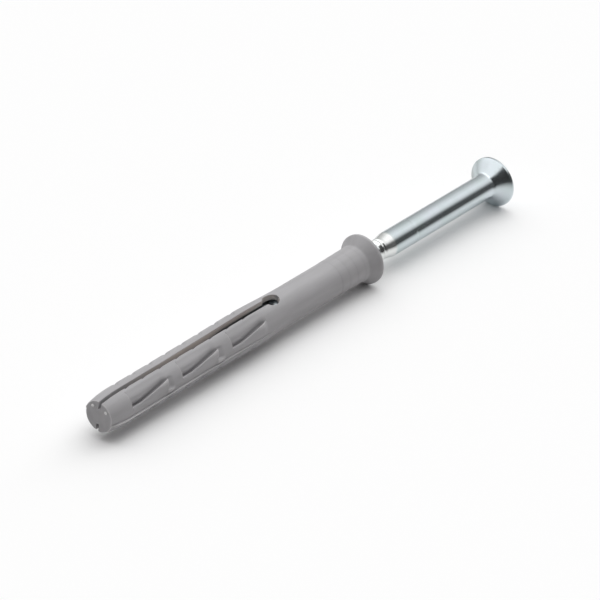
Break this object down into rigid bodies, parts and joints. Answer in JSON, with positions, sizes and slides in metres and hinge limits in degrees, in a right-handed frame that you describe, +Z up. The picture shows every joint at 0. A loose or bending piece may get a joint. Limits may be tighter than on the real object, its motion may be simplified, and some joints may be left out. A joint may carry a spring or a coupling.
{
  "type": "frame fixing",
  "caption": "Hammer-set frame fixing: a slotted nylon sleeve with barbs, anti-turn fins and a round collar, and a threaded steel drive nail with a countersunk cross recess head.",
  "frame": {"origin": "on the table surface that the fixing lies on, under the middle of its length and of its width", "axes": "+X along the shared axis of sleeve and nail, towards the nail's head; +Z up from the table; the fixing lies on the rims of its collar and of its head"},
  "size_m": [0.1604, 0.014, 0.0139],
  "materials": {
    "grey_nylon": "injection moulded grey nylon, satin",
    "zinc_steel": "bright bluish zinc plating"
  },
  "bodies": {
    "sleeve": {"sleeve": "grey_nylon"},
    "nail": {"nail_screw": "zinc_steel"}
  },
  "joints": [
    {"name": "nail_drive", "type": "slide", "parent": "sleeve", "child": "nail", "axis": [-1, 0, 0], "range_m": [0, 0.0534]}
  ]
}
